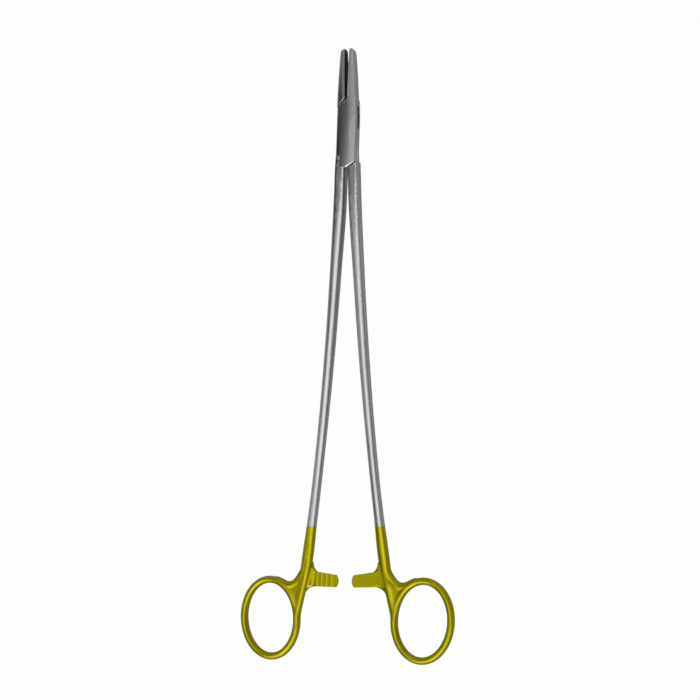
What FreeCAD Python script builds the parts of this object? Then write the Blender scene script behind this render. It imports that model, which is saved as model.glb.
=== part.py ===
import FreeCAD, Part
import math
import os

# Surgical needle holder with a box joint, in millimetres.
# +Y points to the jaw tips, +Z out of the front face, and the pivot axis is the Z axis.
# Z is zero on the flat rear face of the box, which lies on the table.
# Both halves are drawn closed, side by side along the Y axis, and then opened about the pivot.

# Pose of the two halves as they lie
OPENING_ANGLE = 3.3

# Box joint
BOX_WIDTH = 9.1
BOX_THICK = 5.8
BOX_EDGE_RADIUS = 0.7
BOX_CROWN = 0.3
BOX_TOP = 14.45
BOX_BOTTOM = 16.75
UPPER_DIAGONAL_DROP = 4.3
LOWER_DIAGONAL_RISE = 2.9
SHOULDER_BEVEL = 0.5
HEEL_BEVEL = 0.25
BLOCK_TAPER = 0.1
TONGUE_THICK = 1.6
TONGUE_SET_BACK = 0.5
SLOT_CLEARANCE = 0.1
UPPER_CLEARANCE = 0.3
LOWER_CLEARANCE = 0.2
PIN_DIAMETER = 3.2
PIN_RUNNING_CLEARANCE = 0.03

# Jaws and their carbide inserts
JAW_REACH = 37.7
JAW_BASE_WIDTH = 4.05
JAW_TIP_WIDTH = 1.95
JAW_TIP_THICK = 3.9
JAW_OUTER_RADIUS = 0.85
JAW_CROWN = 0.3
JAW_TIP_RADIUS = 3.2
JAW_TIP_ROUNDING = 2.6
TIP_SIDE_RADIUS = 1.6
INNER_TIP_RADIUS = 0.4
INSERT_THICK = 0.8
INSERT_START = 15.1
TIP_GAP = 0.10
BASE_GAP = 0.34

# Shanks
SHANK_NECK_WIDTH = 4.95
SHANK_MID_WIDTH = 4.8
SHANK_SLIM_WIDTH = 3.9
SHANK_END_WIDTH = 4.85
SHANK_NECK_GAP = 0.2
SHANK_NECK_THICK = 5.5
SHANK_SLIM_THICK = 4.3
SHANK_ROUNDNESS = 2.1
SHANK_LEAN = 0.45
SHANK_CURVE = 2.5

# Finger rings
RING_CENTRE_X = 28.36
RING_BELOW_RATCHET = 16.6
RING_HALF_LENGTH = 16.2
RING_HALF_WIDTH = 12.35
RING_TILT = 5.9
RING_BAND = 3.05
RING_THICK = 4.4
RING_ROUNDNESS = 2.05
WEB_THICK = 3.5

# Ratchet
RATCHET_RADIUS = 195.3
RATCHET_HEIGHT = 5.2
RATCHET_OVERLAP = 1.9
RATCHET_FIRST_CREST = 1.3
RATCHET_PITCH = 2.2
RATCHET_TEETH = 4
RATCHET_DEPTH = 0.7
TOOTH_LAND = 0.5
TOOTH_RAMP = 0.75
RATCHET_GAP = 0.2
BAR_FRONT = 1.85

HALF_BOX = BOX_WIDTH / 2
HALF_THICK = BOX_THICK / 2
RING_CENTRE_Y = -(RATCHET_RADIUS + RING_BELOW_RATCHET)


def vec(x, y, z=0.0):
    return FreeCAD.Vector(x, y, z)


def line(a, b):
    return Part.makeLine(a, b)


def arc(a, middle, b):
    return Part.Arc(a, middle, b).toShape()


def prism(edges, bottom, top):
    """A plan outline, drawn at height zero, raised from one height to another."""
    face = Part.Face(Part.Wire(edges))
    solid = face.extrude(vec(0, 0, top - bottom))
    solid.translate(vec(0, 0, bottom))
    return solid


def polygon_prism(points, bottom, top):
    corners = [vec(x, y) for x, y in points]
    edges = [line(a, b) for a, b in zip(corners, corners[1:] + corners[:1])]
    return prism(edges, bottom, top)


def turned(shape, angle):
    """A copy turned about the pivot axis."""
    copy = shape.copy()
    copy.rotate(vec(0, 0, 0), vec(0, 0, 1), angle)
    return copy


def turned_over(shape):
    """A copy turned over about the long axis, left for right and front for back."""
    copy = shape.copy()
    copy.rotate(vec(0, 0, 0), vec(0, 1, 0), 180)
    return copy


# Sections


def box_section(y, half):
    """A wire across the box: flat at the back, slightly crowned at the front, edges rounded."""
    side = HALF_BOX
    r = BOX_EDGE_RADIUS
    k = r * (1 - math.sqrt(0.5))
    front = half - BOX_CROWN
    back = -HALF_THICK
    edges = [
        line(vec(-side + r, y, back), vec(side - r, y, back)),
        arc(vec(side - r, y, back), vec(side - k, y, back + k), vec(side, y, back + r)),
        line(vec(side, y, back + r), vec(side, y, front - r)),
        arc(vec(side, y, front - r), vec(side - k, y, front - k), vec(side - r, y, front)),
        arc(vec(side - r, y, front), vec(0, y, half), vec(-side + r, y, front)),
        arc(vec(-side + r, y, front), vec(-side + k, y, front - k), vec(-side, y, front - r)),
        line(vec(-side, y, front - r), vec(-side, y, back + r)),
        arc(vec(-side, y, back + r), vec(-side + k, y, back + k), vec(-side + r, y, back)),
    ]
    return Part.Wire(edges)


def oval_section(width, thick, roundness):
    """A wire of four quarters across a shank or ring: an oval at roundness 2, squarer with more."""
    power = 2 / roundness
    rise = []
    for step in range(7):
        t = math.radians(15 * step)
        rise.append((width / 2 * math.cos(t) ** power, thick / 2 * math.sin(t) ** power))
    rise[-1] = (0, thick / 2)
    fall = rise[::-1]
    quarters = [
        ([vec(x, 0, z) for x, z in rise], vec(0, 0, 1), vec(-1, 0, 0)),
        ([vec(-x, 0, z) for x, z in fall], vec(-1, 0, 0), vec(0, 0, -1)),
        ([vec(-x, 0, -z) for x, z in rise], vec(0, 0, -1), vec(1, 0, 0)),
        ([vec(x, 0, -z) for x, z in fall], vec(1, 0, 0), vec(0, 0, 1)),
    ]
    edges = []
    for points, start, end in quarters:
        curve = Part.BSplineCurve()
        curve.interpolate(Points=points, InitialTangent=start, FinalTangent=end)
        edges.append(curve.toShape())
    return Part.Wire(edges)


# Finger ring and shank, drawn on the right of the axis


def ring_point(angle, extra=0.0):
    """A point of the ring's centreline, the angle counted from the far end towards the axis."""
    t = math.radians(angle)
    tilt = math.radians(RING_TILT)
    along = (RING_HALF_LENGTH + extra) * math.cos(t)
    across = (RING_HALF_WIDTH + extra) * math.sin(t)
    x = RING_CENTRE_X + along * math.sin(tilt) - across * math.cos(tilt)
    y = RING_CENTRE_Y + along * math.cos(tilt) + across * math.sin(tilt)
    return (x, y)


def finger_ring():
    tilt = math.radians(RING_TILT)
    centre = vec(RING_CENTRE_X, RING_CENTRE_Y)
    far_end = vec(*ring_point(0))
    near_side = vec(*ring_point(90))
    spine = Part.Wire([Part.Ellipse(far_end, near_side, centre).toShape()])
    section = oval_section(RING_BAND, RING_THICK, RING_ROUNDNESS)
    section.rotate(vec(0, 0, 0), vec(0, 0, 1), 90 - math.degrees(tilt))
    section.translate(far_end)
    return spine.makePipeShell([section], True, True)


def shank_line(y):
    """Offset of the shank's middle from the axis: close beside the other shank, then sweeping out."""
    neck_x = SHANK_NECK_GAP / 2 + SHANK_NECK_WIDTH / 2
    neck_y = -BOX_BOTTOM - 13.5
    end_x = ring_point(90)[0] - 3.9
    end_y = -RATCHET_RADIUS + 8.3
    share = (neck_y - y) / (neck_y - end_y)
    return neck_x + (end_x - neck_x) * (SHANK_LEAN * share + (1 - SHANK_LEAN) * share ** SHANK_CURVE)


def shank_stations():
    """Distance along y, offset from the axis, width, thickness and roundness of each section."""
    neck_y = -BOX_BOTTOM - 13.5
    bar_y = -RATCHET_RADIUS
    end_y = bar_y + 8.3
    step = (end_y - neck_y) / 6
    join_x, join_y = ring_point(90)
    upper_x, upper_y = ring_point(62)
    start_x = HALF_BOX - 2.1
    widths = [
        (0, SHANK_NECK_WIDTH, SHANK_NECK_THICK, 4.5),
        (1, SHANK_NECK_WIDTH, SHANK_NECK_THICK - 0.4, 2.7),
        (2, SHANK_MID_WIDTH, SHANK_SLIM_THICK + 0.4, SHANK_ROUNDNESS),
        (3, SHANK_MID_WIDTH - 0.35, SHANK_SLIM_THICK + 0.2, SHANK_ROUNDNESS),
        (4, SHANK_SLIM_WIDTH + 0.2, SHANK_SLIM_THICK, SHANK_ROUNDNESS),
        (5, SHANK_SLIM_WIDTH + 0.15, SHANK_SLIM_THICK, SHANK_ROUNDNESS),
        (5.5, SHANK_SLIM_WIDTH + 0.5, SHANK_SLIM_THICK, SHANK_ROUNDNESS),
        (6, SHANK_END_WIDTH, RING_THICK, SHANK_ROUNDNESS),
    ]
    stations = [
        (-11.5, start_x, 4.4, BOX_THICK - 0.2, 6.0),
        (-BOX_BOTTOM - 2.0, start_x + 0.1, 4.5, BOX_THICK - 0.3, 8.0),
    ]
    for i, width, thick, roundness in widths:
        y = neck_y + i * step
        stations.append((y, shank_line(y), width, thick, roundness))
    stations.append((bar_y + 0.8, join_x - 2.8, SHANK_END_WIDTH - 0.6, RING_THICK, SHANK_ROUNDNESS))
    stations.append((upper_y - 0.5, upper_x - 3.2, RING_BAND + 0.6, RING_THICK, RING_ROUNDNESS))
    stations.append((join_y, join_x, RING_BAND, RING_THICK - 0.1, RING_ROUNDNESS))
    return stations


def crown_stations():
    """The second arm of the fork, which leaves the shank and runs into the far end of the ring."""
    join_x = ring_point(90)[0]
    bar_y = -RATCHET_RADIUS
    thick = RING_THICK - 0.15
    saddle_x, saddle_y = ring_point(44, 1.8)
    flank_x, flank_y = ring_point(28, 0.4)
    crown_x, crown_y = ring_point(12)
    return [
        (bar_y + 8.3, join_x - 3.7, 3.6, thick, SHANK_ROUNDNESS),
        (bar_y + 2.8, join_x - 2.2, 3.6, thick, SHANK_ROUNDNESS),
        (bar_y - 0.9, join_x + 0.2, 3.8, thick, SHANK_ROUNDNESS),
        (saddle_y, saddle_x, RING_BAND + 0.7, thick, RING_ROUNDNESS),
        (flank_y, flank_x, RING_BAND + 0.3, thick, RING_ROUNDNESS),
        (crown_y, crown_x, RING_BAND - 0.1, thick, RING_ROUNDNESS),
    ]


def swept(stations):
    """A smooth body through oval sections, each square to the line through its neighbours."""
    sections = []
    for i, (y, x, width, thick, roundness) in enumerate(stations):
        before = stations[max(i - 1, 0)]
        after = stations[min(i + 1, len(stations) - 1)]
        lean = math.degrees(math.atan2(after[1] - before[1], before[0] - after[0]))
        section = oval_section(width, thick, roundness)
        section.rotate(vec(0, 0, 0), vec(0, 0, 1), lean)
        section.translate(vec(x, y))
        sections.append(section)
    return Part.makeLoft(sections, True, False)


def ring_web():
    """The thinner web that fills the fork between the two arms and the ring."""
    join_x = ring_point(90)[0]
    bar_y = -RATCHET_RADIUS
    start = vec(join_x - 2.9, bar_y + 4.0)
    outer = vec(join_x + 0.2, bar_y - 0.9)
    crown = vec(*ring_point(44, 1.8))
    edges = [
        line(start, outer),
        line(outer, crown),
        line(crown, vec(*ring_point(36))),
        line(vec(*ring_point(36)), vec(*ring_point(50))),
        line(vec(*ring_point(50)), vec(*ring_point(66))),
        line(vec(*ring_point(66)), vec(*ring_point(84))),
        line(vec(*ring_point(84)), start),
    ]
    return prism(edges, -WEB_THICK / 2, WEB_THICK / 2)


# Ratchet bar, drawn on the right half, in the front half of the thickness with its teeth underneath


def bar_top():
    return -RATCHET_RADIUS + RATCHET_HEIGHT / 2


def bar_bottom():
    return -RATCHET_RADIUS - RATCHET_HEIGHT / 2


def ratchet_bar():
    """The toothed bar itself, half as thick as the shank, so that the two bars pass."""
    root_x = ring_point(90)[0] - 4.0
    top = bar_top()
    bottom = bar_bottom()
    tip = -RATCHET_OVERLAP
    blunt = 1.0
    edges = [
        line(vec(tip + blunt, top), vec(root_x, top + 1.5)),
        line(vec(root_x, top + 1.5), vec(root_x + 1.6, bottom)),
        line(vec(root_x + 1.6, bottom), vec(tip + blunt, bottom)),
        arc(vec(tip + blunt, bottom), vec(tip, -RATCHET_RADIUS), vec(tip + blunt, top)),
    ]
    bar = prism(edges, RATCHET_GAP / 2, BAR_FRONT)
    for groove in ratchet_grooves():
        bar = bar.cut(groove)
    return bar


def bar_fillets():
    """The two fillets between the shank and its ratchet bar, in the bar's own half of the thickness."""
    root_x = ring_point(90)[0] - 4.0
    top = bar_top()
    bottom = bar_bottom()
    high = vec(root_x - 2.2, top + 5.2)
    low = vec(root_x - 5.0, top + 0.75)
    upper = [
        arc(high, vec(root_x - 3.0, top + 2.2), low),
        line(low, vec(root_x, top + 0.6)),
        line(vec(root_x, top + 0.6), vec(root_x, top + 5.2)),
        line(vec(root_x, top + 5.2), high),
    ]
    left = vec(root_x - 3.6, bottom + 0.05)
    right = vec(root_x + 1.9, bottom - 5.8)
    lower = [
        arc(left, vec(root_x + 0.15, bottom - 1.6), right),
        line(right, vec(root_x + 3.2, bottom - 4.0)),
        line(vec(root_x + 3.2, bottom - 4.0), vec(root_x + 1.6, bottom + 0.3)),
        line(vec(root_x + 1.6, bottom + 0.3), left),
    ]
    back = RATCHET_GAP / 2
    front = BAR_FRONT - 0.05
    return prism(upper, back, front).fuse(prism(lower, back, front))


def ratchet_grooves():
    """Saw teeth square to the swing: a narrow land, a ramp to the flat root, and a steep flank behind."""
    crest = RATCHET_GAP / 2
    root = crest + RATCHET_DEPTH
    land = crest + 0.1
    grooves = []
    for k in range(RATCHET_TEETH):
        behind = 0.05
        ramp_top = RATCHET_PITCH - TOOTH_LAND
        floor = [(behind, crest), (behind + 0.15, root), (ramp_top - TOOTH_RAMP, root)]
        profile = floor + [(ramp_top, land), (RATCHET_PITCH, crest), (RATCHET_PITCH, -1), (behind, -1)]
        grooves.append(radial_groove(profile, RATCHET_FIRST_CREST + k * RATCHET_PITCH))
    lead = RATCHET_FIRST_CREST + RATCHET_OVERLAP + 1
    ramp = [(0, crest), (-TOOTH_LAND, land), (-TOOTH_LAND - TOOTH_RAMP, root)]
    grooves.append(radial_groove(ramp + [(-lead, root), (-lead, -1), (0, -1)], RATCHET_FIRST_CREST))
    return grooves


def radial_groove(profile, offset):
    """A cutting bar with the given profile in x and z, laid along a radius of the swing."""
    start = -(RATCHET_RADIUS - RATCHET_HEIGHT)
    corners = [vec(x, start, z) for x, z in profile]
    edges = [line(a, b) for a, b in zip(corners, corners[1:] + corners[:1])]
    bar = Part.Face(Part.Wire(edges)).extrude(vec(0, -2 * RATCHET_HEIGHT, 0))
    return turned(bar, math.degrees(math.asin(offset / RATCHET_RADIUS)))


# Jaw, drawn on the left of the axis as on the tongue half


def face_gap(y):
    """Distance of a jaw face from the axis when the jaws are closed: a little open at the base."""
    share = (JAW_REACH - y) / (JAW_REACH - BOX_TOP)
    return TIP_GAP / 2 + share * (BASE_GAP - TIP_GAP) / 2


def jaw_section(y, width, thick):
    """Flat on the gripping side, crowned at front and back, and rounded to the outer side."""
    face = -face_gap(y)
    half = thick / 2
    outer = -width
    r = JAW_OUTER_RADIUS
    k = r * (1 - math.sqrt(0.5))
    crown = JAW_CROWN * width / JAW_BASE_WIDTH
    low = half - crown
    mid = (face + outer + r) / 2
    high = half - 0.3 * crown
    edges = [
        line(vec(face, y, -half), vec(face, y, half)),
        arc(vec(face, y, half), vec(mid, y, high), vec(outer + r, y, low)),
        arc(vec(outer + r, y, low), vec(outer + k, y, low - k), vec(outer, y, low - r)),
        line(vec(outer, y, low - r), vec(outer, y, -low + r)),
        arc(vec(outer, y, -low + r), vec(outer + k, y, -low + k), vec(outer + r, y, -low)),
        arc(vec(outer + r, y, -low), vec(mid, y, -high), vec(face, y, -half)),
    ]
    return Part.Wire(edges)


def jaw():
    start = 6.5
    base = BOX_TOP - 1.0
    middle = 0.5 * (JAW_REACH + BOX_TOP) + 0.5
    end = JAW_REACH + 1
    middle_width = 0.5 * (JAW_BASE_WIDTH + JAW_TIP_WIDTH) + 0.1
    middle_thick = 0.5 * (BOX_THICK + JAW_TIP_THICK) + 0.25
    sections = [
        jaw_section(start, HALF_BOX - 0.05, BOX_THICK - 0.02),
        jaw_section(base, JAW_BASE_WIDTH, BOX_THICK - 0.04),
        jaw_section(middle, middle_width, middle_thick),
        jaw_section(end, JAW_TIP_WIDTH, JAW_TIP_THICK),
    ]
    body = Part.makeLoft(sections, True, False)
    return body.common(tip_plan()).common(tip_side())


def tip_plan():
    """The plan of the jaw with both tip corners rounded."""
    r = JAW_TIP_RADIUS
    k = 1 - math.sqrt(0.5)
    left = -JAW_TIP_WIDTH - 0.15
    sweep = math.asin(JAW_TIP_ROUNDING / r)
    foot = JAW_REACH - JAW_TIP_ROUNDING
    corner = vec(left, foot)
    middle = vec(left + r - r * math.cos(sweep / 2), foot + r * math.sin(sweep / 2))
    crown = vec(left + r - r * math.cos(sweep), JAW_REACH)
    face = -face_gap(JAW_REACH)
    q = INNER_TIP_RADIUS
    edges = [
        line(vec(1, 5), vec(1, JAW_REACH - q)),
        line(vec(1, JAW_REACH - q), vec(face, JAW_REACH - q)),
        arc(vec(face, JAW_REACH - q), vec(face - q * k, JAW_REACH - q * k), vec(face - q, JAW_REACH)),
        line(vec(face - q, JAW_REACH), crown),
        arc(crown, middle, corner),
        line(corner, vec(-8, foot)),
        line(vec(-8, foot), vec(-8, 5)),
        line(vec(-8, 5), vec(1, 5)),
    ]
    return prism(edges, -HALF_THICK - 1, HALF_THICK + 1)


def tip_side():
    """The side outline of the jaw with both tip corners rounded."""
    r = TIP_SIDE_RADIUS
    k = 1 - math.sqrt(0.5)
    top = JAW_REACH
    h = JAW_TIP_THICK / 2 + 0.02
    wide = HALF_THICK + 1
    edges = [
        line(vec(-8, 5, -wide), vec(-8, top - r, -wide)),
        line(vec(-8, top - r, -wide), vec(-8, top - r, -h)),
        arc(vec(-8, top - r, -h), vec(-8, top - r * k, -h + r * k), vec(-8, top, -h + r)),
        line(vec(-8, top, -h + r), vec(-8, top, h - r)),
        arc(vec(-8, top, h - r), vec(-8, top - r * k, h - r * k), vec(-8, top - r, h)),
        line(vec(-8, top - r, h), vec(-8, top - r, wide)),
        line(vec(-8, top - r, wide), vec(-8, 5, wide)),
        line(vec(-8, 5, wide), vec(-8, 5, -wide)),
    ]
    return Part.Face(Part.Wire(edges)).extrude(vec(10, 0, 0))


def insert_seat():
    """The slab that the carbide insert takes up behind the jaw face."""
    near = -face_gap(INSERT_START) - INSERT_THICK
    far = -face_gap(JAW_REACH) - INSERT_THICK
    points = [(near, INSERT_START), (1, INSERT_START), (1, JAW_REACH + 2), (far, JAW_REACH + 2)]
    return polygon_prism(points, -HALF_THICK - 1, HALF_THICK + 1)


# The two edges that cross the box and meet the other half's shoulders


def upper_diagonal(x):
    """Height of the upper edge of the box's cheeks, which falls to the side of the other jaw."""
    return BOX_TOP + (x + 0.27) * UPPER_DIAGONAL_DROP / HALF_BOX


def lower_diagonal(x):
    """Height of the lower edge of the box's cheeks, which rises to the side of the other shank."""
    return -BOX_BOTTOM + (x - 0.45) * LOWER_DIAGONAL_RISE / HALF_BOX


def edge_bevel(edge, x_from, x_to, offset, away, bevel, z_sign):
    """A cutting bar for the bevel along one of the two diagonal edges, on the front or the back."""
    start = vec(x_from, edge(x_from))
    run = vec(x_to, edge(x_to)) - start
    along = vec(run.x, run.y).normalize()
    normal = vec(-along.y, along.x) * away
    reach = 1.0
    profile = [
        (offset - reach, HALF_THICK - bevel - reach),
        (offset + bevel + reach, HALF_THICK + reach),
        (offset - reach, HALF_THICK + reach),
    ]
    corners = [start + normal * n + vec(0, 0, z_sign * z) for n, z in profile]
    edges = [line(a, b) for a, b in zip(corners, corners[1:] + corners[:1])]
    return Part.Face(Part.Wire(edges)).extrude(run)


def bevelled(body, edge, x_from, x_to, offset, away, bevel):
    for z_sign in (-1, 1):
        body = body.cut(edge_bevel(edge, x_from, x_to, offset, away, bevel, z_sign))
    return body


# The two halves, closed


def arm():
    """Shank, ring, web and ratchet bar in one forging, shank to the right."""
    body = swept(shank_stations()).fuse(finger_ring())
    body = body.fuse(swept(crown_stations()))
    body = body.fuse(ring_web())
    body = body.fuse(bar_fillets())
    return body.fuse(ratchet_bar())


def tongue():
    """The flat tongue that joins jaw and shank through the box."""
    side = HALF_BOX - 0.05
    upper = upper_diagonal(-0.27)
    lower = lower_diagonal(0.45)
    points = [
        (-0.3, upper + 2.0),
        (-0.3, upper - 0.9),
        (side, 0.6),
        (side, lower - 1.0),
        (0.7, lower - 1.0),
        (0.35, lower + 1.2),
        (-side, -0.6),
        (-side, upper - 3.0),
        (-side + 1.0, upper + 2.0),
    ]
    middle = -TONGUE_SET_BACK
    plate = polygon_prism(points, middle - TONGUE_THICK / 2, middle + TONGUE_THICK / 2)
    return plate.cut(insert_seat())


def box_space():
    """The band between the two diagonals that the cheeks need, with their clearance."""
    rise = UPPER_CLEARANCE * math.hypot(1, UPPER_DIAGONAL_DROP / HALF_BOX)
    fall = LOWER_CLEARANCE * math.hypot(1, LOWER_DIAGONAL_RISE / HALF_BOX)
    wide = 2 * HALF_BOX
    points = [
        (-wide, upper_diagonal(-wide) + rise),
        (1.0, upper_diagonal(1.0) + rise),
        (wide, lower_diagonal(wide) - fall),
        (-1.0, lower_diagonal(-1.0) - fall),
    ]
    return polygon_prism(points, -BOX_THICK, BOX_THICK)


def tongue_half():
    body = arm().fuse(jaw().cut(insert_seat()))
    body = body.cut(box_space())
    body = bevelled(body, upper_diagonal, -HALF_BOX - 1, 1, UPPER_CLEARANCE, 1, HEEL_BEVEL)
    body = bevelled(body, lower_diagonal, -1, HALF_BOX + 2, LOWER_CLEARANCE, -1, SHOULDER_BEVEL)
    body = body.fuse(tongue())
    hole = Part.makeCylinder(PIN_DIAMETER / 2 + PIN_RUNNING_CLEARANCE, BOX_THICK, vec(0, 0, -HALF_THICK))
    return body.cut(hole)


def box_block():
    """The block of the box between the two diagonals, its front falling a little towards the jaws."""
    top = BOX_TOP
    bottom = -BOX_BOTTOM
    bend = top - 7.95
    foot = box_section(bottom, HALF_THICK)
    waist = box_section(bend, HALF_THICK)
    head = box_section(top, HALF_THICK - BLOCK_TAPER)
    block = Part.makeLoft([foot, waist], True, True).fuse(Part.makeLoft([waist, head], True, True))
    wide = HALF_BOX + 1
    points = [
        (-0.27, top),
        (-wide, upper_diagonal(-wide)),
        (-wide, bottom),
        (0.45, bottom),
        (wide, lower_diagonal(wide)),
        (wide, top - 7.5),
        (HALF_BOX - 0.1, top - 7.5),
        (JAW_BASE_WIDTH - 0.15, top),
    ]
    return block.common(polygon_prism(points, -BOX_THICK, BOX_THICK))


def box_slot():
    """The slot that the tongue passes through and swings in."""
    half = TONGUE_THICK / 2 + SLOT_CLEARANCE
    middle = -TONGUE_SET_BACK
    wide = HALF_BOX + 3
    points = [
        (0.12, BOX_TOP + 3),
        (0.12, BOX_TOP - 0.3),
        (HALF_BOX, BOX_TOP - 3.4),
        (wide, BOX_TOP - 4.4),
        (wide, -BOX_BOTTOM - 1),
        (-0.2, -BOX_BOTTOM - 1),
        (-0.2, -BOX_BOTTOM + 0.6),
        (-HALF_BOX, -BOX_BOTTOM + 4.6),
        (-wide, -BOX_BOTTOM + 6.6),
        (-wide, BOX_TOP + 3),
    ]
    return polygon_prism(points, middle - half, middle + half)


def slot_hook():
    """The fine groove that curls forward from the top of the slot, across the side of the front cheek."""
    near = BOX_TOP - 3.85
    far = BOX_TOP - 2.95
    low = TONGUE_THICK / 2 - TONGUE_SET_BACK
    high = HALF_THICK - 0.9
    width = 0.3
    middle = (low + high) / 2
    x = HALF_BOX - 0.75
    outer = arc(vec(x, near, low), vec(x, far - 0.2, middle - 0.2), vec(x, far, high))
    inner = arc(vec(x, far - width, high), vec(x, far - width - 0.25, middle), vec(x, near - width, low))
    cap = line(vec(x, far, high), vec(x, far - width, high))
    foot = line(vec(x, near - width, low), vec(x, near, low))
    return Part.Face(Part.Wire([outer, cap, inner, foot])).extrude(vec(2, 0, 0))


def box_half():
    body = turned_over(arm().fuse(jaw().cut(insert_seat())))
    block = bevelled(box_block(), upper_diagonal, -HALF_BOX - 1, -0.2, 0, -1, SHOULDER_BEVEL)
    block = bevelled(block, lower_diagonal, 0.4, HALF_BOX + 2, 0, 1, SHOULDER_BEVEL)
    body = body.fuse(block).cut(box_slot())
    body = body.cut(slot_hook())
    hole = Part.makeCylinder(PIN_DIAMETER / 2, BOX_THICK, vec(0, 0, -HALF_THICK))
    return body.cut(hole)


def jaw_insert():
    return jaw().common(insert_seat())


def pivot_pin():
    """The pin, riveted and dressed flush with both faces of the box."""
    pin = Part.makeCylinder(PIN_DIAMETER / 2, BOX_THICK, vec(0, 0, -HALF_THICK))
    return pin.common(box_block())


# Placing and writing


def placed(shape, angle):
    """Opened about the pivot and lifted so that the rear face of the box is at zero."""
    body = turned(shape, angle)
    body.translate(vec(0, 0, HALF_THICK))
    return body


def write(shape, name):
    if len(shape.Solids) != 1:
        raise ValueError(name + " is not one solid")
    shape.Solids[0].exportStep(os.path.join("parts", name + ".step"))
    print(name, round(shape.Volume, 1))


os.makedirs("parts", exist_ok=True)
HALF_OPEN = OPENING_ANGLE / 2
write(placed(box_half().removeSplitter(), -HALF_OPEN), "box_half")
write(placed(tongue_half().removeSplitter(), HALF_OPEN), "tongue_half")
write(placed(pivot_pin(), -HALF_OPEN), "pivot_pin")
write(placed(turned_over(jaw_insert()), -HALF_OPEN), "box_jaw_insert")
write(placed(jaw_insert(), HALF_OPEN), "tongue_jaw_insert")
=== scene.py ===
import bpy
import bmesh
import math
from mathutils import Vector, Matrix


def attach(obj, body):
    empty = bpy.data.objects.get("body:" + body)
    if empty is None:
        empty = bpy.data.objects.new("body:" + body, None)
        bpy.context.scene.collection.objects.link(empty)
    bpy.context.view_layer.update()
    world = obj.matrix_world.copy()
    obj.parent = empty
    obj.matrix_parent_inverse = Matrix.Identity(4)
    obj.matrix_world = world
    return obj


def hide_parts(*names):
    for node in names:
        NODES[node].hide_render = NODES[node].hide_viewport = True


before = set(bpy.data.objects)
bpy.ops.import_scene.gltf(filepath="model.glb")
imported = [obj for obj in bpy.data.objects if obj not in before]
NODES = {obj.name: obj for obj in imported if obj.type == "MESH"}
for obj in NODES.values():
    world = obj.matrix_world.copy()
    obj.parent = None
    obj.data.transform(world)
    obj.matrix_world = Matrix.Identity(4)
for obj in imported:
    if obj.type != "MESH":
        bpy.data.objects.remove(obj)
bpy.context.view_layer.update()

# Lengths below are in millimetres and angles in degrees, where nothing else is said
MM = 0.001
HALF_OPEN = math.radians(1.65)

# Camera: what it looks at, from how far, how it is turned, and the scale of the picture there
CAMERA_TARGET = (1.55, -96.95, 2.9)
CAMERA_DISTANCE = 637.0
CAMERA_YAW = 22.0
CAMERA_PITCH = 8.48
CAMERA_ROLL = 0.354
MM_PER_PIXEL = 0.43
PICTURE = 700

# Darkest and lightest tone, and least and most roughness, of each metal
STEEL = ((0.54, 0.54, 0.54), (0.60, 0.60, 0.60), 0.09, 0.15)
GILT = ((0.49, 0.445, 0.004), (0.55, 0.50, 0.010), 0.08, 0.14)
RING_GILT = ((0.45, 0.41, 0.004), (0.51, 0.465, 0.010), 0.20, 0.30)
GROUND = ((0.62, 0.62, 0.62), (0.70, 0.70, 0.70), 0.18, 0.28)
CARBIDE_TONES = ((0.10, 0.10, 0.105), (0.17, 0.17, 0.175))

# The line where the gilding starts: its height and slant at the middle of a shank, and its soft edge
GILT_START = -172.7
GILT_SLANT = 0.10
GILT_SIDE = 15.9
GILT_FADE = 0.12

# Radius over which shading runs round an edge: on the steel, on the gilding beyond the ratchet, and
# what the fork adds
STEEL_EDGE = 0.3
GILT_EDGE = 0.8
FORK_EDGE = 1.2

# Zones of the gilding, by distance from the middle of the instrument or by height along it
RATCHET_END = (13.5, 15.0)
# Painted shade in the ratchet recesses: the places where it fades out, and how far it looks for nearby
# faces
RECESS_SHADE_END = (15.0, 17.0)
RING_START = (20.0, 25.0)
FORK_END = (22.0, 26.0)
FORK_TOP = (-186.0, -192.0)
RECESS_SHADE_REACH = 2.0

# Around the pin, the shading keeps the sharp edge of a ground face
PIN_ZONE = (2.0, 2.4)

# Gripping faces: the area that is cut into a fine mesh, its step, and the crossed grooves
FACE_ALONG = (15.3, 37.5)
FACE_HEIGHT = (0.2, 5.7)
FACE_STEP = 0.14
GROOVE_PITCH = 0.62
GROOVE_HALF_SHARE = 0.32
GROOVE_DEPTH = 0.11

# Floor: half its side and its height in metres, the share of plain white in what the lens sees, and how
# far the painted shade reaches in what the metal mirrors of it
FLOOR_HALF_SIDE = 12.0
FLOOR_HEIGHT = -0.0001
FLOOR_WHITE = 0.97
FLOOR_SHADE_REACH = 30.0

# The one lamp: its place and target in metres, its side in metres and its power in watts
LAMP_PLACE = (-0.2, -1.1, 0.9)
LAMP_TARGET = (0, -0.1, 0)
LAMP_SIDE = 1.2
LAMP_POWER = 4.5

# Soft panels that light the room: strength, direction across and along, spreads to the left and
# right, and spreads towards the rings and the jaws. A minus sign makes a dark card.
ROOM = 0.44
ROOM_LEAST = 0.03
PANELS = [
    (0.78, 3, 9, 44, 30, 21, 5),
    (1.05, 5, 11, 22, 58, 14, 60),
    (1.30, 30, -5, 20, 32, 90, 6),
    (-0.40, -52, -4, 25, 14, 60, 7),
    (-1.00, 4, -3, 29, 80, 13, 70),
    (-0.43, -50, 13, 25, 24, 6, 9),
    (-0.42, 12, -4, 16, 20, 45, 2),
]


# Camera


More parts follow.
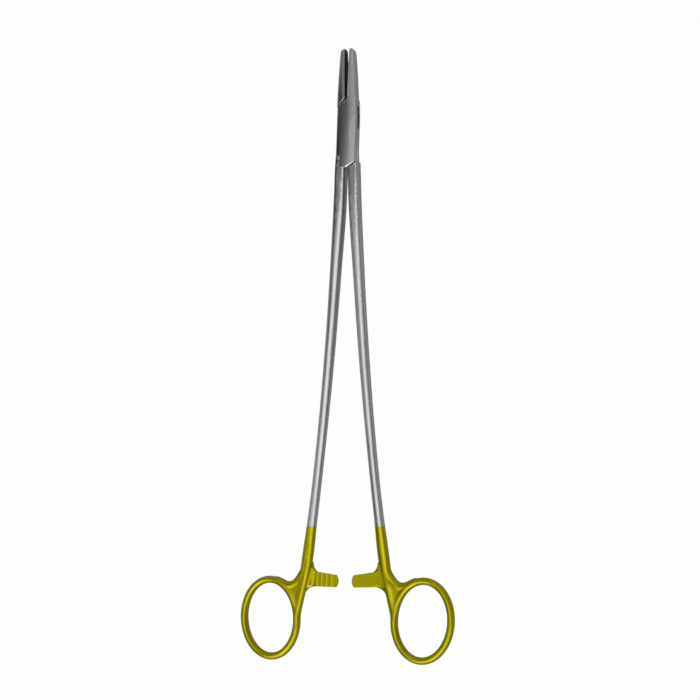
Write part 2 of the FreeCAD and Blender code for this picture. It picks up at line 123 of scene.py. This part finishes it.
def make_camera():
    """The photograph's view: above the instrument, a little to its right and towards the rings."""
    yaw = math.radians(CAMERA_YAW)
    pitch = math.radians(CAMERA_PITCH)
    roll = math.radians(CAMERA_ROLL)
    aside = math.sin(yaw)
    back = Vector((aside, -math.sin(pitch) * math.cos(yaw), math.cos(pitch) * math.cos(yaw)))
    right = Vector((0, 1, 0)).cross(back).normalized()
    up = back.cross(right)
    place = Vector(CAMERA_TARGET) + back * CAMERA_DISTANCE
    x_axis = right * math.cos(roll) + up * math.sin(roll)
    y_axis = up * math.cos(roll) - right * math.sin(roll)
    data = bpy.data.cameras.new("camera")
    data.sensor_width = 36.0
    data.lens = CAMERA_DISTANCE / MM_PER_PIXEL * data.sensor_width / PICTURE
    data.clip_start = 0.01
    data.clip_end = 20.0
    camera = bpy.data.objects.new("camera", data)
    camera.matrix_world = Matrix((
        (x_axis.x, y_axis.x, back.x, place.x * MM),
        (x_axis.y, y_axis.y, back.y, place.y * MM),
        (x_axis.z, y_axis.z, back.z, place.z * MM),
        (0, 0, 0, 1),
    ))
    bpy.context.scene.collection.objects.link(camera)
    bpy.context.scene.camera = camera


# Material helpers


def new_material(name):
    mat = bpy.data.materials.new(name)
    mat.use_nodes = True
    tree = mat.node_tree
    tree.nodes.clear()
    out = tree.nodes.new("ShaderNodeOutputMaterial")
    return mat, tree, out


def link(tree, a, b):
    tree.links.new(a, b)


def math_node(tree, operation, a, b=None, c=None):
    """A math node; each input is a number or another node's output."""
    node = tree.nodes.new("ShaderNodeMath")
    node.operation = operation
    for socket, value in zip(node.inputs, (a, b, c)):
        if value is None:
            continue
        if isinstance(value, (int, float)):
            socket.default_value = value
        else:
            tree.links.new(value, socket)
    return node.outputs[0]


def stretched_noise(tree, scale, stretch, detail=4.0, rough=0.55):
    """Noise in object coordinates, scale per millimetre, stretched along each axis."""
    coords = tree.nodes.new("ShaderNodeTexCoord")
    mapping = tree.nodes.new("ShaderNodeMapping")
    mapping.inputs["Scale"].default_value = [1000.0 * scale / s for s in stretch]
    noise = tree.nodes.new("ShaderNodeTexNoise")
    noise.inputs["Scale"].default_value = 1.0
    noise.inputs["Detail"].default_value = detail
    noise.inputs["Roughness"].default_value = rough
    link(tree, coords.outputs["Object"], mapping.inputs["Vector"])
    link(tree, mapping.outputs["Vector"], noise.inputs["Vector"])
    return noise.outputs["Fac"]


def ramp(tree, fac, stops):
    node = tree.nodes.new("ShaderNodeValToRGB")
    elements = node.color_ramp.elements
    while len(elements) < len(stops):
        elements.new(0.5)
    for element, (place, colour) in zip(elements, stops):
        element.position = place
        element.color = (*colour, 1)
    link(tree, fac, node.inputs["Fac"])
    return node.outputs["Color"]


def ranged(tree, value, low, high, to_low, to_high, smooth=False):
    node = tree.nodes.new("ShaderNodeMapRange")
    if smooth:
        node.interpolation_type = "SMOOTHSTEP"
    node.inputs["From Min"].default_value = low
    node.inputs["From Max"].default_value = high
    node.inputs["To Min"].default_value = to_low
    node.inputs["To Max"].default_value = to_high
    link(tree, value, node.inputs["Value"])
    return node.outputs["Result"]


def zone(tree, value, ends, to_low, to_high, smooth=False):
    """A value in metres ranged between two places in millimetres."""
    return ranged(tree, value, ends[0] * MM, ends[1] * MM, to_low, to_high, smooth)


def bump(tree, heights, normal=None):
    """Bump nodes one after another: (height output, distance in metres, strength)."""
    for height, distance, strength in heights:
        node = tree.nodes.new("ShaderNodeBump")
        node.inputs["Strength"].default_value = strength
        node.inputs["Distance"].default_value = distance
        link(tree, height, node.inputs["Height"])
        if normal is not None:
            link(tree, normal, node.inputs["Normal"])
        normal = node.outputs["Normal"]
    return normal


def bevel(tree, radius, samples):
    """Normals that run smoothly over edges and into corners within the radius."""
    node = tree.nodes.new("ShaderNodeBevel")
    node.samples = samples
    link(tree, radius, node.inputs["Radius"])
    return node.outputs["Normal"]


def side_and_along(tree):
    """Distance from the middle of the instrument, and position along it, in metres."""
    coords = tree.nodes.new("ShaderNodeTexCoord")
    parts = tree.nodes.new("ShaderNodeSeparateXYZ")
    link(tree, coords.outputs["Object"], parts.inputs[0])
    return math_node(tree, "ABSOLUTE", parts.outputs["X"]), parts.outputs["Y"]


def mixed(tree, mask, first, second):
    mix = tree.nodes.new("ShaderNodeMixShader")
    link(tree, mask, mix.inputs["Fac"])
    link(tree, first, mix.inputs[1])
    link(tree, second, mix.inputs[2])
    return mix.outputs[0]


# Metals


def soft_edges(tree):
    """Softened edges, but not where the pin is ground flush."""
    coords = tree.nodes.new("ShaderNodeTexCoord")
    flat = tree.nodes.new("ShaderNodeVectorMath")
    flat.operation = "MULTIPLY"
    flat.inputs[1].default_value = (1, 1, 0)
    span = tree.nodes.new("ShaderNodeVectorMath")
    span.operation = "LENGTH"
    link(tree, coords.outputs["Object"], flat.inputs[0])
    link(tree, flat.outputs["Vector"], span.inputs[0])
    return bevel(tree, zone(tree, span.outputs["Value"], PIN_ZONE, 0.0, STEEL_EDGE * MM), 8)


def blended_edges(tree, ratchet_edge):
    """Softened edges, widely where shank, ring and ratchet meet, but narrowly on the ratchet itself."""
    side, along = side_and_along(tree)
    fork_side = zone(tree, side, FORK_END, FORK_EDGE * MM, 0.0)
    fork_along = zone(tree, along, FORK_TOP, 0.0, 1.0)
    fork = math_node(tree, "MULTIPLY", fork_side, fork_along)
    shank = math_node(tree, "ADD", fork, GILT_EDGE * MM)
    outside = zone(tree, side, RATCHET_END, 0.0, 1.0)
    return bevel(tree, math_node(tree, "MULTIPLY_ADD", outside, shank, ratchet_edge * MM), 12)


def recess_shade_share(tree, recess_shade_depth):
    """One on open faces, and less in the ratchet teeth and beside the shank: painted shade that darkens
    the gilding in these recesses.
    """
    near = tree.nodes.new("ShaderNodeAmbientOcclusion")
    near.samples = 8
    near.inputs["Distance"].default_value = RECESS_SHADE_REACH * MM
    # Painted shade: the closer the nearby faces, the darker the gilding
    painted_shade = ranged(tree, near.outputs["AO"], 0.4, 0.95, recess_shade_depth, 0.0)
    side, _ = side_and_along(tree)
    teeth = math_node(tree, "MULTIPLY", painted_shade, zone(tree, side, RECESS_SHADE_END, 1.0, 0.0))
    return math_node(tree, "SUBTRACT", 1.0, teeth)


def metal_shader(tree, dark, light, low_rough, high_rough, normal, share=None):
    """Polished or satin metal whose tone and roughness follow the grain and the handling marks; a share,
    where given, scales the tone down as painted shade.
    """
    grain = stretched_noise(tree, 2.2, (1.0, 26.0, 1.0), 5.0, 0.6)
    marks = stretched_noise(tree, 0.16, (1.0, 2.5, 1.0), 6.0, 0.65)
    shader = tree.nodes.new("ShaderNodeBsdfPrincipled")
    shader.inputs["Metallic"].default_value = 1.0
    half_grain = math_node(tree, "MULTIPLY", grain, 0.5)
    half_marks = math_node(tree, "MULTIPLY", marks, 0.5)
    tone = math_node(tree, "ADD", half_grain, half_marks)
    colour = ramp(tree, tone, [(0.36, dark), (0.64, light)])
    # Painted shade: the colour is scaled down by the share in recesses
    if share is not None:
        scaled = tree.nodes.new("ShaderNodeVectorMath")
        scaled.operation = "SCALE"
        link(tree, colour, scaled.inputs[0])
        link(tree, share, scaled.inputs["Scale"])
        colour = scaled.outputs["Vector"]
    link(tree, colour, shader.inputs["Base Color"])
    link(tree, ranged(tree, tone, 0.35, 0.65, low_rough, high_rough), shader.inputs["Roughness"])
    fine = bump(tree, [(grain, 0.00001, 0.25), (marks, 0.00004, 0.12)], normal)
    link(tree, fine, shader.inputs["Normal"])
    return shader.outputs[0]


def gilt_mask(tree):
    """One below the line where the gilding starts, which runs square across each shank."""
    side, along = side_and_along(tree)
    height = math_node(tree, "MULTIPLY", along, 1000.0 * math.cos(HALF_OPEN))
    drop = math_node(tree, "MULTIPLY", side, -1000.0 * (math.sin(HALF_OPEN) + GILT_SLANT))
    place = math_node(tree, "ADD", height, drop)
    edge = GILT_START - GILT_SLANT * GILT_SIDE
    return ranged(tree, place, edge + GILT_FADE, edge - GILT_FADE, 0.0, 1.0, True)


def ring_mask(tree):
    """One over the finger ring and zero over the shank."""
    side, _ = side_and_along(tree)
    return zone(tree, side, RING_START, 0.0, 1.0, True)


def half_material(name, ratchet_edge, recess_shade_depth):
    """Satin steel on the jaw, box and shank, polished gilding below with painted shade in the ratchet
    recesses, and rougher, darker gilding on the ring.
    """
    mat, tree, out = new_material(name)
    steel = metal_shader(tree, *STEEL, soft_edges(tree))
    normal = blended_edges(tree, ratchet_edge)
    shank_gilt = metal_shader(tree, *GILT, normal, recess_shade_share(tree, recess_shade_depth))
    ring_gilt = metal_shader(tree, *RING_GILT, normal)
    gilt = mixed(tree, ring_mask(tree), shank_gilt, ring_gilt)
    link(tree, mixed(tree, gilt_mask(tree), steel, gilt), out.inputs["Surface"])
    return mat


def plain_material(name, metal):
    mat, tree, out = new_material(name)
    link(tree, metal_shader(tree, *metal, None), out.inputs["Surface"])
    return mat


def carbide_material():
    """Dull dark sintered metal with a sandy grain."""
    mat, tree, out = new_material("carbide")
    grain = stretched_noise(tree, 9.0, (1.0, 1.0, 1.0), 3.0, 0.6)
    cloud = stretched_noise(tree, 0.6, (1.0, 1.6, 1.0), 4.0, 0.6)
    shader = tree.nodes.new("ShaderNodeBsdfPrincipled")
    shader.inputs["Metallic"].default_value = 1.0
    colour = ramp(tree, cloud, [(0.35, CARBIDE_TONES[0]), (0.65, CARBIDE_TONES[1])])
    link(tree, colour, shader.inputs["Base Color"])
    link(tree, ranged(tree, grain, 0.3, 0.7, 0.42, 0.58), shader.inputs["Roughness"])
    link(tree, bump(tree, [(grain, 0.00002, 0.4)]), shader.inputs["Normal"])
    link(tree, shader.outputs[0], out.inputs["Surface"])
    return mat


# Inserts with the cross-hatched gripping face


def groove(s):
    """Depth share of V grooves across s: one at each multiple of the pitch."""
    off = abs((s / GROOVE_PITCH + 0.5) % 1.0 - 0.5)
    return max(0.0, 1.0 - off / GROOVE_HALF_SHARE)


def cut_across(bm, normal, ends):
    """Cut the mesh by parallel planes, from one place to the other."""
    place = ends[0] * MM
    while place < ends[1] * MM:
        geometry = bm.verts[:] + bm.edges[:] + bm.faces[:]
        bmesh.ops.bisect_plane(bm, geom=geometry, dist=1e-8, plane_co=normal * place, plane_no=normal)
        place += FACE_STEP * MM


def hatched_insert(name, sign, body):
    """The insert with crossed grooves pressed into its gripping face. sign is 1 on the tongue side."""
    node = NODES[name]
    bm = bmesh.new()
    bm.from_mesh(node.data)
    bmesh.ops.remove_doubles(bm, verts=bm.verts, dist=1e-7)
    turn = Matrix.Rotation(-sign * HALF_OPEN, 4, "Z")
    bm.transform(turn)
    cut_across(bm, Vector((0, 1, 0)), FACE_ALONG)
    cut_across(bm, Vector((0, 0, 1)), FACE_HEIGHT)
    bm.normal_update()
    inward = Vector((-sign, 0, 0))
    for face in bm.faces:
        face.material_index = 0 if face.normal.dot(inward) < -0.99 else 1
    for vert in bm.verts:
        if any(face.material_index for face in vert.link_faces):
            continue
        y = vert.co.y / MM
        z = vert.co.z / MM
        share = max(groove(y + z), groove(y - z))
        vert.co += inward * (GROOVE_DEPTH * MM * share)
    bm.transform(turn.inverted())
    mesh = bpy.data.meshes.new(name + "_hatched")
    bm.to_mesh(mesh)
    bm.free()
    obj = bpy.data.objects.new(name + "_hatched", mesh)
    bpy.context.scene.collection.objects.link(obj)
    mesh.materials.append(CARBIDE)
    mesh.materials.append(GROUND_EDGES)
    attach(obj, body)
    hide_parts(name)
    return obj


# Floor, lamp and surroundings


def distance_share(tree):
    """How far a point of the floor is from the instrument: about one at 100 mm to its side."""
    coords = tree.nodes.new("ShaderNodeTexCoord")
    scaled = tree.nodes.new("ShaderNodeMapping")
    scaled.inputs["Location"].default_value = (0, 0.38, 0)
    scaled.inputs["Scale"].default_value = (10, 4, 0)
    span = tree.nodes.new("ShaderNodeVectorMath")
    span.operation = "LENGTH"
    link(tree, coords.outputs["Object"], scaled.inputs["Vector"])
    link(tree, scaled.outputs["Vector"], span.inputs[0])
    return span.outputs["Value"]


def white_with_painted_shade(tree, mirrored):
    """White, or in what the metal mirrors, a grey with painted shade that darkens beside and under the
    instrument.
    """
    near = tree.nodes.new("ShaderNodeAmbientOcclusion")
    near.samples = 8
    near.inputs["Distance"].default_value = FLOOR_SHADE_REACH * MM
    shade = math_node(tree, "MULTIPLY_ADD", near.outputs["AO"], 0.2, 0.16)
    # The painted shade fades out away from the instrument, where the mirrored floor turns white
    away = ranged(tree, distance_share(tree), 0.8, 1.6, 0.0, 1.0, True)
    brightness = math_node(tree, "ADD", shade, math_node(tree, "MULTIPLY", away, 0.6))
    missing = math_node(tree, "SUBTRACT", 1.0, brightness)
    return math_node(tree, "SUBTRACT", 1.0, math_node(tree, "MULTIPLY", missing, mirrored))


def floor_material():
    """White paper, whose glow in what the metal mirrors carries painted shade."""
    mat, tree, out = new_material("floor_paper")
    path = tree.nodes.new("ShaderNodeLightPath")
    paper = tree.nodes.new("ShaderNodeBsdfDiffuse")
    fibre = stretched_noise(tree, 0.5, (1.0, 1.0, 1.0), 4.0, 0.6)
    tones = ramp(tree, fibre, [(0.3, (0.84, 0.84, 0.84)), (0.7, (0.87, 0.87, 0.87))])
    link(tree, tones, paper.inputs["Color"])
    glossy = path.outputs["Is Glossy Ray"]
    mirrored = math_node(tree, "ADD", glossy, path.outputs["Is Transmission Ray"])
    mirrored = math_node(tree, "MINIMUM", mirrored, 1.0)
    glow = tree.nodes.new("ShaderNodeEmission")
    link(tree, white_with_painted_shade(tree, mirrored), glow.inputs["Strength"])
    seen = math_node(tree, "ADD", path.outputs["Is Camera Ray"], mirrored)
    seen = math_node(tree, "MINIMUM", seen, 1.0)
    white = math_node(tree, "MULTIPLY", seen, FLOOR_WHITE)
    link(tree, mixed(tree, white, paper.outputs[0], glow.outputs[0]), out.inputs["Surface"])
    return mat


def make_floor():
    mesh = bpy.data.meshes.new("floor")
    s = FLOOR_HALF_SIDE
    h = FLOOR_HEIGHT
    mesh.from_pydata([(-s, -s, h), (s, -s, h), (s, s, h), (-s, s, h)], [], [(0, 1, 2, 3)])
    floor = bpy.data.objects.new("floor", mesh)
    bpy.context.scene.collection.objects.link(floor)
    mesh.materials.append(floor_material())


def make_lamp():
    """A wide soft lamp beyond the rings."""
    data = bpy.data.lights.new("fill_rings", "AREA")
    data.shape = "RECTANGLE"
    data.size = LAMP_SIDE
    data.size_y = LAMP_SIDE
    data.energy = LAMP_POWER
    lamp = bpy.data.objects.new("fill_rings", data)
    lamp.location = LAMP_PLACE
    direction = Vector(LAMP_TARGET) - Vector(LAMP_PLACE)
    lamp.rotation_mode = "QUATERNION"
    lamp.rotation_quaternion = direction.to_track_quat("-Z", "Y")
    bpy.context.scene.collection.objects.link(lamp)


def split_scale(tree, value, middle, below, above):
    """Distance from the middle, in units of one spread below it and another above it."""
    offset = math_node(tree, "SUBTRACT", value, middle)
    high = math_node(tree, "DIVIDE", math_node(tree, "MAXIMUM", offset, 0.0), above)
    low = math_node(tree, "DIVIDE", math_node(tree, "MINIMUM", offset, 0.0), below)
    return math_node(tree, "ADD", high, low)


def panel(tree, across, along, strength, x, y, left, right, near, far):
    """Light of one soft panel: strongest in its own direction and fading over its spreads."""
    u = split_scale(tree, across, math.radians(x), math.radians(left), math.radians(right))
    v = split_scale(tree, along, math.radians(y), math.radians(near), math.radians(far))
    u_squared = math_node(tree, "MULTIPLY", u, u)
    v_squared = math_node(tree, "MULTIPLY", v, v)
    spread = math_node(tree, "ADD", u_squared, v_squared)
    fall = math_node(tree, "MULTIPLY_ADD", spread, spread, 1.0)
    return math_node(tree, "DIVIDE", strength, fall)


def make_world():
    """A dim room with soft panels and dark cards over the table."""
    world = bpy.data.worlds.new("world")
    bpy.context.scene.world = world
    world.use_nodes = True
    tree = world.node_tree
    tree.nodes.clear()
    out = tree.nodes.new("ShaderNodeOutputWorld")
    back = tree.nodes.new("ShaderNodeBackground")
    back.inputs["Color"].default_value = (1, 1, 1, 1)
    coords = tree.nodes.new("ShaderNodeTexCoord")
    parts = tree.nodes.new("ShaderNodeSeparateXYZ")
    link(tree, coords.outputs["Generated"], parts.inputs[0])
    across = math_node(tree, "ARCTAN2", parts.outputs["X"], parts.outputs["Z"])
    along = math_node(tree, "ARCSINE", parts.outputs["Y"])
    light = ROOM
    for settings in PANELS:
        light = math_node(tree, "ADD", panel(tree, across, along, *settings), light)
    link(tree, math_node(tree, "MAXIMUM", light, ROOM_LEAST), back.inputs["Strength"])
    link(tree, back.outputs[0], out.inputs["Surface"])


make_camera()
make_floor()
make_world()
make_lamp()
bpy.context.scene.view_settings.view_transform = "Standard"

CARBIDE = carbide_material()
GROUND_EDGES = plain_material("insert_edges", GROUND)
hatched_insert("box_jaw_insert", -1, "box_side")
hatched_insert("tongue_jaw_insert", 1, "tongue_side")

# The box half's bar shows its teeth, so its edges are crisp and its recesses get strong painted shade
MATERIALS = {
    "box_half": half_material("box_half_metal", 0.15, 0.62),
    "tongue_half": half_material("tongue_half_metal", 0.5, 0.05),
    "pivot_pin": plain_material("pin_metal", STEEL),
}
for name, material in MATERIALS.items():
    NODES[name].data.materials.clear()
    NODES[name].data.materials.append(material)
